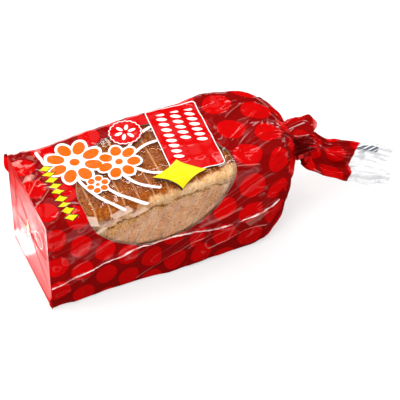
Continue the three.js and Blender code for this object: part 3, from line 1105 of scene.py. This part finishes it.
def makeLoaf(material):
    # Every slice is a rounded square plate: a rim grid closed by two flat faces that narrow to their middles
    rng = np.random.default_rng(5)
    around, across = loaf["around"], loaf["across"]
    thick = loaf["pitch"] - loaf["gap"]
    share = ringShares(around)
    place = np.linspace(-1, 1, across)[:, None]
    edge = np.clip((np.abs(place) - 0.72) / 0.28, 0, 1)
    inset = 1.0 * (1 - np.sqrt(np.clip(1 - edge**2, 0, 1)))  # the rim is rounded towards both cut faces
    spare = len(loaf["faceInsets"])
    acrossUv = np.concatenate([np.full(spare, -1.0), place[:, 0], np.full(spare, 1.0)])[:, None]
    shareUv = ringShares(around, 1)
    allPoints, allUv, allTone = [], [], []
    for number in range(loaf["slices"]):
        start = loaf["first"] + number * loaf["pitch"]
        jitter = rng.uniform(-1, 1, 4)
        x = start + thick * (place * 0.5 + 0.5)
        y, z, outY, outZ = loafOutline(x, share, jitter)
        relief, tone = crustRelief(x, share, y, z, number)
        y = y + outY * (relief - inset)
        z = z + outZ * (relief - inset)
        rim = stacked(x, y, z)
        low, high = sliceFace(rim[:1], start), sliceFace(rim[-1:], start + thick)
        block = np.concatenate(low + [rim] + high[::-1], 0)
        block[..., 0] -= leanOf(block[..., 0], block[..., 2])
        allPoints.append(block)
        allUv.append(stacked(shareUv * 4, acrossUv * 0.5 + 0.5 + number))
        allTone.append(np.concatenate([tone[:1]] * spare + [tone] + [tone[-1:]] * spare, 0))
    rows, columns = allPoints[0].shape[:2]
    index = np.arange(rows * columns).reshape(rows, columns)
    right = np.roll(index, -1, axis=1)
    faces = np.stack([index[1:], right[1:], right[:-1], index[:-1]], -1).reshape(-1, 4)
    faces = np.concatenate([faces + k * rows * columns for k in range(loaf["slices"])])
    uvs = []
    for uv in allUv:
        here, beside = uv[:, :-1], uv[:, 1:]
        uvs.append(np.stack([here[1:], beside[1:], beside[:-1], here[:-1]], -2).reshape(-1, 2))
    points = np.concatenate([p.reshape(-1, 3) for p in allPoints])
    tones = np.concatenate([t.reshape(-1, 3) for t in allTone])
    attributes = {"crust": tones[:, 0], "crack": tones[:, 1], "band": tones[:, 2]}
    return makeMesh("loaf_slices", points, faces, {"film": np.concatenate(uvs)}, material, attributes)


def leanOf(x, z):  # the middle slices lean: below the crust their cut faces slope back towards the folded end
    return loaf["lean"] * np.clip(loaf["leanFrom"] - z, 0, 45) * smooth(25, 95, x) * (1 - smooth(160, 215, x))


def loafOutline(x, share, jitter):
    # A rounded square by share of its outline, whose top follows the film's, with its outward direction
    tuck = 4.5 * smooth(192, 216, x)  # the last slices sit where the bag's corners draw in
    half, low, high = loaf["halfWidth"] - tuck, loaf["bottom"] + tuck, loaf["top"] - tuck * 0.6
    power = loaf["squareness"]
    angle = 2 * math.pi * share
    c, s = -np.sin(angle), -np.cos(angle)
    reach = (np.abs(c) ** power + np.abs(s) ** power) ** (-1 / power)
    y = (half + 0.35 * jitter[0]) * c * reach
    z = (low + high) / 2 + (high - low) / 2 * s * reach
    upper = smooth(60, 100, z)
    lift = topOffset(x, y) * 0.9 + 0.35 * jitter[1]
    growY = np.abs(c) ** (power - 1) * np.sign(c)
    growZ = np.abs(s) ** (power - 1) * np.sign(s)
    size = np.hypot(growY, growZ)
    return y + 0 * x, z + upper * lift, growY / size + 0 * x, growZ / size + 0 * x


def crustRelief(x, share, y, z, number):
    # Crumb grain all over, wrinkles on the brown top, and a ragged crack along both sides near the top
    way = share * 396
    still = way * 0
    grain = 0.22 * layeredNoise(x / 2.3 + 9, way / 2.3, 71 + number, 3)
    pits = -0.35 * np.clip(softNoise(x / 1.3, way / 1.3, 90 + number) - 0.45, 0, 1)
    onSide = smooth(0.55, 0.9, np.abs(y) / loaf["halfWidth"])

    # the crack, and the torn lip of crumb below it
    boundary = crackHeight(x) + 1.8 * softNoise(x / 6, still, 75) + 1.1 * softNoise(x / 1.9, still, 76)
    offset = z - boundary
    crack = np.exp(-((offset / 1.1) ** 2)) * onSide
    torn = np.interp(x, *loaf["torn"]) * (1 + 0.25 * softNoise(x / 4, still, 74))
    lip = smooth(-torn - 1.5, -torn + 1.5, offset) * (1 - smooth(-1, 1.5, offset)) * onSide
    lip = lip * (0.75 + 0.5 * softNoise(x / 3.1, way / 4, 77))

    # the brown crust on the top and under the loaf
    crustFloor = np.interp(x, *loaf["crustFloor"]) + 1.5 * softNoise(x / 3, still, 73)
    up = smooth(crustFloor - 1.5, crustFloor + 1.5, z - topOffset(x, y) * 0.9)
    nearLimit = brownLine(x) + 1.3 * softNoise(x / 4, still, 79)
    crust = up * smooth(-1.5, 1.5, y - nearLimit) * (1 - smooth(44.5, 47.5, y))
    crust = np.maximum(crust, 1 - smooth(2, 9, z))
    wrinkle = 0.25 * softNoise(x / 3.2, way / 7, 81 + number) * crust

    relief = grain * (1 - 0.4 * crust) + pits * (1 - crust) + wrinkle - 1.0 * crack + 0.5 * lip
    band = onSide * smooth(0.5, 4, offset) * (1 - crust)
    return relief, stacked(crust, np.clip(crack + 0.5 * lip, 0, 1), band)


def brownLine(x):  # where the brown top begins, measured from the middle of the loaf
    return np.interp(x, *loaf["brown"])


def toneOf(tree, name):  # a value that the mesh carries at its points
    return addNode(tree, "ShaderNodeAttribute", attribute_name=name).outputs["Fac"]


def breadMaterial():
    material, tree = newTree("slicedLoaf")
    place = addNode(tree, "ShaderNodeTexCoord").outputs["Object"]
    crust, crack, band = toneOf(tree, "crust"), toneOf(tree, "crack"), toneOf(tree, "band")
    acrossSlice = calc(tree, "FRACT", parts(tree, filmUv(tree))[1])
    edge = times(tree, sizeOf(tree, minus(tree, acrossSlice, 0.5)), 2.0)  # 0 mid slice, 1 at a cut face
    coarse = noise(tree, place, 60.0, 5.0, 0.7)
    fine = noise(tree, place, 560.0, 3.0, 0.75)
    grain = plus(tree, times(tree, coarse, 0.45), times(tree, fine, 0.55))
    specks = addNode(tree, "ShaderNodeTexVoronoi", {"Vector": place, "Scale": 430.0}).outputs["Distance"]

    # the sides: crumb with specks of bran, paler at the cuts
    bran = times(tree, inside(tree, specks, 0.30, 0.08), inside(tree, fine, 0.50, 0.05))
    side = mixColour(tree, times(tree, bran, 0.75), coloured(tree, grain, loaf["sideTones"]), loaf["bran"])
    side = mixColour(tree, ranged(tree, edge, 0.80, 0.90, 0.0, 0.7), side, loaf["cutEdge"])

    # the brown top: crust with pale seeds, worn pale at the cuts
    crustGrain = plus(tree, times(tree, coarse, 0.25), times(tree, fine, 0.75))
    seeds = times(tree, inside(tree, specks, 0.26, 0.06), inside(tree, coarse, 0.46, 0.04))
    top = mixColour(tree, times(tree, seeds, 0.6), coloured(tree, crustGrain, loaf["topTones"]), loaf["seed"])
    worn = times(tree, ranged(tree, edge, 0.86, 0.93), ranged(tree, coarse, 0.36, 0.50, 0.25, 1.0))
    top = mixColour(tree, worn, top, loaf["crustEdge"])
    colour = mixColour(tree, crust, side, top)

    # the band under the crust, and the golden crack with painted shade in its depth
    colour = mixColour(tree, times(tree, band, 0.8), colour, coloured(tree, grain, loaf["bandTones"]))
    golden = ranged(tree, crack, 0.12, 0.5, 0.0, 0.85)
    colour = mixColour(tree, golden, colour, coloured(tree, fine, loaf["goldTones"]))
    colour = mixColour(tree, ranged(tree, crack, 0.66, 0.92, 0.0, 0.72), colour, loaf["crackPaintedShade"])

    height = plus(tree, times(tree, fine, 0.7), times(tree, coarse, 0.5))
    body = surface(tree, colour, 0.85, 0.1, normal=bumped(tree, height, 0.7, 0.0015))
    body.inputs["Subsurface Weight"].default_value = 0.08
    body.inputs["Subsurface Radius"].default_value = (0.004, 0.002, 0.001)
    finishTree(tree, body.outputs[0])
    return material


# Neck film past the tape: the tail
tailFilm = {
    # points that the tail's middle runs through
    "path": [
        (264, 0, 54),
        (270.5, 0, 54),
        (277, 0, 54),
        (279, 0, 54),
        (286, -2, 48.5),
        (300, -7, 39),
        (322, -13, 30.5),
        (342, -18.5, 23.5),
        (362, -23, 16),
    ],
    "wideWay": (-0.35, -0.75, -0.6),
    "rows": 150,
    "columns": 260,
    "halfWide": 20.0,
    "halfFlat": 1.5,
    "firstRow": 0.06,  # share of the rows that the tape hides
    "clearFrom": 330.0,
    "mouth": (0.90, 0.90, 0.91, 1),
    "tint": (0.965, 0.965, 0.97, 1),
    "mark": (0.10, 0.12, 0.16, 1),
    "marksAt": (338.0, 71.0),
    "marksHalf": 9.5,
    "markHalfStep": 2.6,
    "markHalf": (1.7, 3.2),
}


def pathAt(path, count):
    # A smooth curve through the points, evenly spaced along its length, with its directions
    points = np.array(path, dtype=float)
    steps = np.concatenate([[0], np.cumsum(np.linalg.norm(np.diff(points, axis=0), axis=1) ** 0.5)])
    fine = np.linspace(0, steps[-1], 600)
    slopes = np.gradient(points, steps, axis=0)
    k = np.clip(np.searchsorted(steps, fine) - 1, 0, len(points) - 2)
    gap = (steps[k + 1] - steps[k])[:, None]
    t = ((fine - steps[k])[:, None]) / gap
    curve = (
        (2 * t**3 - 3 * t**2 + 1) * points[k]
        + (t**3 - 2 * t**2 + t) * gap * slopes[k]
        + (3 * t**2 - 2 * t**3) * points[k + 1]
        + (t**3 - t**2) * gap * slopes[k + 1]
    )
    way = np.concatenate([[0], np.cumsum(np.linalg.norm(np.diff(curve, axis=0), axis=1))])
    even = np.linspace(0, way[-1], count)
    centre = np.stack([np.interp(even, way, curve[:, i]) for i in range(3)], -1)
    forward = np.gradient(centre, axis=0)
    return centre, forward / np.linalg.norm(forward, axis=1, keepdims=True), even


def pathFrames(forward, wide):  # two directions across a path, the first of them nearest to the given way
    wide = np.array(wide)
    across = wide - (forward @ wide)[:, None] * forward
    across /= np.linalg.norm(across, axis=1, keepdims=True)
    return across, np.cross(across, forward)


def makeTail(material):
    # A gathered tube that opens flat past the tape: both of its walls share folds that run along it and fade
    t, neck = tailFilm, bagShape["neckRadius"]
    centre, forward, way = pathAt(t["path"], t["rows"])
    across, flat = pathFrames(forward, t["wideWay"])
    along = (way / way[-1])[:, None]
    share = ringShares(t["columns"])
    angle = 2 * math.pi * (share - 0.125)
    wide = np.cos(angle)

    # how far each side has opened from the gathered neck to the flat tail
    upperOpening = 0.62 * smooth(0.03, 0.16, along) + 0.38 * smooth(0.2, 0.5, along)
    lowerOpening = smooth(-0.16, 0.24, along) * smooth(0.0, 0.08, along)
    opening = mix(upperOpening, lowerOpening, 0.5 + 0.5 * wide)
    halfWide = mix(neck, t["halfWide"], opening) - 3 * smooth(0.75, 1, along)
    halfFlat = mix(neck, t["halfFlat"], smooth(0.13, 0.36, along))

    # folds that run along the tail, and creases across them
    folded = zigzag(wide * 2.6 + 0.5 * softNoise(along * 3, wide * 0 + 2, 51) + 0.35)
    smaller = zigzag(wide * 6.3 + 0.9 * softNoise(along * 4, wide + 5, 52))
    wave = 2.6 * np.sin(5.2 * wide + 7 * along) + 4.2 * folded * (1 - 0.45 * along) + 1.7 * smaller
    crossing = 3.2 * creases(along * 100, wide * 18, 62, 8, 53)
    crossing = crossing + 1.6 * creases(along * 100, wide * 18, -20, 7, 55)
    wave = opening * wave + opening * crossing

    corner = np.sign(np.sin(angle)) * np.sqrt(np.abs(np.sin(angle)))
    thick = mix(np.sin(angle), corner, opening)
    pleats = pleatWave(2 * math.pi * share, 1.0) + 0.5 * sharpPleats(2 * math.pi * share, 1.0)
    gather = 1 + pleats * (1 - opening)
    ripple = 1 + 0.05 * opening * softNoise(along * 9, np.sign(wide) * 3, 54)
    offsetWide = (halfWide * gather * wide * ripple)[..., None]
    offsetFlat = (halfFlat * gather * thick + wave)[..., None]
    points = centre[:, None, :] + across[:, None, :] * offsetWide + flat[:, None, :] * offsetFlat

    shareUv = ringShares(t["columns"], 1)
    wideUv = np.cos(2 * math.pi * (shareUv - 0.125))
    u = way[:, None] + 264 + 14 * wideUv * smooth(0.5, 0.8, along)
    spread = mix(50, 27, smooth(0.15, 0.6, along))
    uv = stacked(u, 90 + spread * wideUv) / 100
    keep = slice(int(t["firstRow"] * t["rows"]), None)
    return addGrid("bag_tail", points[keep], uv[keep], material, wrap=True, flip=True)


# The folded loop over the neck
earFilm = {
    "path": [(246, -1, 82), (259, 0, 83.5), (272, 0, 82), (289, 1, 79)],
    "wideWay": (-0.3, 0.45, 0.85),
    "rows": 90,
    "columns": 120,
    "halfWide": (5.0, 9.3),
    "halfFlat": (4, 4.6),
    "tint": (0.40, 0.003, 0.003, 1),
    # colours of the painted highlights on the creases, and of the pale rim, which is partly translucent film
    # and partly painted sheen
    "glint": (0.95, 0.78, 0.75, 1),
    "rim": (0.95, 0.40, 0.40, 1),
    "glints": [  # painted highlights on the loop's creases: centre, half length and half width, degrees, strength
        ((281.0, 186.0), (8.0, 0.3), 8, 0.75),
        ((285.0, 176.5), (8.0, 0.3), -9, 0.6),
        ((273.0, 182.0), (5.0, 0.25), 24, 0.5),
        ((289.0, 190.0), (3.0, 0.25), -25, 0.5),
    ],
}


def makeEar(material):
    # A puffed loop: rings on a short path, widening and closing over at its tip, with creases along it
    e = earFilm
    centre, forward, way = pathAt(e["path"], e["rows"])
    across, flat = pathFrames(forward, e["wideWay"])
    along = (way / way[-1])[:, None]
    angle = 2 * math.pi * ringShares(e["columns"])
    closing = np.sqrt(np.clip(1 - along**4, 0.0004, 1))
    halfWide = mix(*e["halfWide"], smooth(0, 0.5, along)) * closing
    halfFlat = mix(*e["halfFlat"], smooth(0, 0.6, along)) * closing
    crease = zigzag(angle * 4 / math.pi + 0.9 * softNoise(angle * 1.1, along * 3, 57) + 0.8 * along)
    fold = 1 + 0.6 * crease * smooth(0.05, 0.4, along) + 0.2 * zigzag(along * 5 + angle)
    around = np.sin(angle) * 9 + 0 * along  # the same value on both sides, so that the crease meets itself
    fold = fold + 0.34 * creases(along * 40 + 0 * angle, around, 25, 6.5, 58, 0.6) * smooth(0.1, 0.3, along)
    points = (
        centre[:, None, :]
        + across[:, None, :] * (halfWide * fold * np.cos(angle))[..., None]
        + flat[:, None, :] * (halfFlat * fold * np.sin(angle))[..., None]
    )
    shareUv = ringShares(e["columns"], 1)
    uv = stacked(way[:, None] + 262, 138 + 60 * shareUv) / 100
    return addGrid("bag_ear", points, uv, material, wrap=True, flip=True)


# The pinched film round the tape
ruffFilm = {
    "rows": 44,
    "columns": 200,
    "from": -70,  # degrees from the top of the neck, positive away from the viewer
    "to": 150,
    "start": 257.5,
    "end": 285.0,
    "radius": 9.2,
    "swell": 3.6,
    # near black mixed into the print: painted shade deep in the gathered folds
    "tint": (0.025, 0.0005, 0.0005, 1),
}


def makeRuff(material):
    # Pleated film pinched out over the back and top of the tape: rings of growing radius, open below in front
    r = ruffFilm
    along = np.linspace(0, 1, r["rows"])[:, None]
    angle = np.linspace(r["from"], r["to"], r["columns"])[None, :] * math.pi / 180
    pleats = zigzag(angle * 7 + 0.8 * softNoise(angle * 2, along * 2, 91))
    fine = zigzag(angle * 16 + 1.5 * softNoise(angle * 3, along * 3, 92))
    swell = r["swell"] * np.sin(math.pi * np.clip(along * 0.85 + 0.1, 0, 1))
    radius = r["radius"] + swell + 2.6 * pleats + 1.1 * fine
    x = mix(r["start"], r["end"], along) + 2.0 * pleats * along
    drop = 2.5 * smooth(0.5, 1, along)
    z = bagShape["neckHeight"] + radius * np.cos(angle) - drop
    points = stacked(x, radius * np.sin(angle), z)
    uv = stacked(x + 3, 168 + 20 * angle) / 100
    return addGrid("bag_ruff", points, uv, material, flip=True)


def ruffPaintedShadeMaterial():  # painted shade: the print mixed most of the way to near black, for the shade deep in the many folded layers
    material, tree = newTree("gatheredFilmPaintedShade")
    colour = mixColour(tree, 0.6, plainPrint(tree, filmUv(tree)), ruffFilm["tint"])
    finishTree(tree, surface(tree, colour, 0.4, 0.0, 1.0, 0.06).outputs[0])
    return material


def earMaterial():
    # Printed film, mixed with a pale coated film where it is seen edge on and at the loop's tip: partly the
    # film's pale translucent edge, partly painted sheen
    e = earFilm
    material, tree = newTree("printedFilmLoop")
    uv = filmUv(tree)
    colour = mixColour(tree, 0.3, plainPrint(tree, uv), e["tint"])
    # painted highlights on the loop's creases
    colour = mixColour(tree, facets(tree, uv, e["glints"]), colour, e["glint"])
    printed = surface(tree, colour, 0.4, 0.0, 1.0, 0.06)
    pale = surface(tree, e["rim"], 0.2, coat=1.0)
    facing = addNode(tree, "ShaderNodeLayerWeight", {"Blend": 0.5}).outputs["Facing"]
    rim = ranged(tree, facing, 0.55, 0.92, 0.0, 0.85)
    # pale at the tip and where seen edge on: partly translucent film, partly painted sheen
    tip = times(tree, ranged(tree, parts(tree, uv)[0], 2.99, 3.05), 0.7)
    finishTree(tree, mixShader(tree, larger(tree, rim, tip), printed.outputs[0], pale.outputs[0]))
    return material


# The tape round the neck: the CAD's own ring with a new finish
def tapeMaterial():
    material, tree = newTree("neckTape")
    place = addNode(tree, "ShaderNodeTexCoord").outputs["Object"]
    waves = {"Vector": place, "Scale": 220.0, "Distortion": 1.5}
    weave = addNode(tree, "ShaderNodeTexWave", waves, bands_direction="X").outputs["Fac"]
    tone = mixColour(tree, weave, (0.45, 0.005, 0.004, 1), (0.80, 0.022, 0.016, 1))
    finishTree(tree, surface(tree, tone, 0.6, 0.2, normal=bumped(tree, weave, 0.4, 0.0004)).outputs[0])
    return material


# Build the pieces
bodyMaterial = filmMaterial("printedFilm", withWindow=True)
plainMaterial = filmMaterial("printedFilmEnds")
tailMaterial = filmMaterial("printedFilmTail", clearTail=True)
print("stage: materials")

film = makeBodyFilm(bodyMaterial)
panel = makeEndPanel(panelMaterial())
tail = makeTail(tailMaterial)
ear = makeEar(earMaterial())
ruff = makeRuff(ruffPaintedShadeMaterial())
farFlap = makeFlap("flap_far", "far", plainMaterial)
nearFlap = makeFlap("flap_near", "near", plainMaterial)
weldFinish = weldMaterial()
nearWeld = makeWeld("weld_near", -1, weldFinish)
farWeld = makeWeld("weld_far", 1, weldFinish)
slices = makeLoaf(breadMaterial())
films = (film, panel, tail, ear, ruff, farFlap, nearFlap, nearWeld, farWeld)
for piece in films + (slices,):
    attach(piece, "root")
    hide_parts("bag")
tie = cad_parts["neck_tie"]
for slot in tie.material_slots:
    slot.material = tapeMaterial()
print("stage: pieces")

# Floor, lights and camera
studio = {
    "floorColour": (0.42, 0.42, 0.42, 1),
    "worldStrength": 1.3,
    "floorGlow": 0.48,
    "glossDimming": 0.97,
    "cameraPlace": (-281.1, -965.2, 1092.0),
    "cameraAim": (158.0, -22.1, 50.5),
    "cameraRoll": 1.01,
    "lens": 144.0,
    "lights": [  # name, place, aim, size, power and, where it isn't white, colour
        ("keySoftbox", (-250, -350, 900), (110, 0, 60), (300, 300), 2.0),
        ("farStrip", (260, 420, 900), (130, 0, 100), (420, 40), 0.5),
        ("farGlow", (330, 560, 820), (130, 0, 100), (480, 160), 0.16),
        ("rightStrip", (900, 120, 330), (230, 0, 80), (70, 420), 0.9),
        ("rightBackStrip", (858, 513, 160), (240, 0, 80), (50, 380), 0.5),
        ("backStrip", (330, 930, 330), (110, 40, 100), (560, 300), 2.6),
        ("leftGlow", (-144, 576, 766), (10, 0, 100), (320, 200), 1.2, (1.0, 0.80, 0.62)),
        ("frontStrip", (120, -150, 1), (120, -150, 300), (420, 14), 0.05),
        ("frontGlow", (110, -185, 1), (110, -185, 300), (340, 130), 0.09),
        ("leftSoftbox", (-700, 120, 170), (0, 0, 55), (200, 200), 4.0),
        ("panelTopGlow", (-33, 92, 1), (-33, 92, 300), (16, 30), 0.007),
        ("panelGlow", (-21, 64, 1), (-21, 64, 300), (16, 36), 0.0105),
        ("panelFootGlow", (-8, 38, 1), (-8, 38, 300), (14, 34), 0.013),
        ("panelNearGlow", (-17, -4, 1), (-17, -4, 300), (30, 66), 0.011),
        ("edgeGlow", (-40, -72, 1), (-40, -72, 300), (50, 36), 0.010),
    ],
}


def inMetres(point):
    return tuple((np.array(point, dtype=float) + shift) / 1000)


def aim(obj, target, roll=0.0):
    direction = Vector(inMetres(target)) - obj.location
    turn = direction.to_track_quat("-Z", "Y").to_matrix().to_4x4()
    obj.rotation_euler = (turn @ Matrix.Rotation(math.radians(roll), 4, "Z")).to_euler()


def addArea(name, place, target, size, power, colour=(1, 1, 1)):
    light = bpy.data.lights.new(name, "AREA")
    light.shape = "RECTANGLE"
    light.size, light.size_y = size[0] / 1000, size[1] / 1000
    light.energy = power
    light.color = colour
    lamp = bpy.data.objects.new(name, light)
    scene.collection.objects.link(lamp)
    lamp.location = inMetres(place)
    lamp.visible_camera = False
    aim(lamp, target)


floorMaterial, floorTree = newTree("paleTable")
floorBody = surface(floorTree, studio["floorColour"], 0.9, 0.0)
floorBody.inputs["Emission Color"].default_value = (1, 1, 1, 1)
floorBody.inputs["Emission Strength"].default_value = studio["floorGlow"]
finishTree(floorTree, floorBody.outputs[0])
floorMesh = bpy.data.meshes.new("table_top")
floorMesh.from_pydata([(-6, -6, 0), (6, -6, 0), (6, 6, 0), (-6, 6, 0)], [], [(0, 1, 2, 3)])
floorMesh.materials.append(floorMaterial)
floor = bpy.data.objects.new("table_top", floorMesh)
scene.collection.objects.link(floor)
floor.visible_glossy = False

world = bpy.data.worlds.new("paleRoom")
scene.world = world
world.use_nodes = True
room = world.node_tree
ray = addNode(room, "ShaderNodeLightPath")
dimmed = times(room, ray.outputs["Is Glossy Ray"], studio["worldStrength"] * studio["glossDimming"])
seen = minus(room, studio["worldStrength"], dimmed)  # gloss sees a dim room, so that only the lights glare
direction = addNode(room, "ShaderNodeTexCoord").outputs["Generated"]
height = addNode(room, "ShaderNodeSeparateXYZ", {0: direction}).outputs[2]
seen = times(room, seen, ranged(room, height, 0.0, 1.0, 0.55, 1.35))  # brighter overhead
seen = larger(room, seen, ray.outputs["Is Camera Ray"])
background = room.nodes["Background"]
background.inputs[0].default_value = (1, 1, 1, 1)
room.links.new(seen, background.inputs[1])

for light in studio["lights"]:
    addArea(*light)

camera = bpy.data.cameras.new("photoCamera")
camera.lens = studio["lens"]
camera.sensor_width = 36
camera.clip_end = 20
cameraObject = bpy.data.objects.new("photoCamera", camera)
scene.collection.objects.link(cameraObject)
cameraObject.location = inMetres(studio["cameraPlace"])
aim(cameraObject, studio["cameraAim"], studio["cameraRoll"])
scene.camera = cameraObject
print("stage: camera and lights")
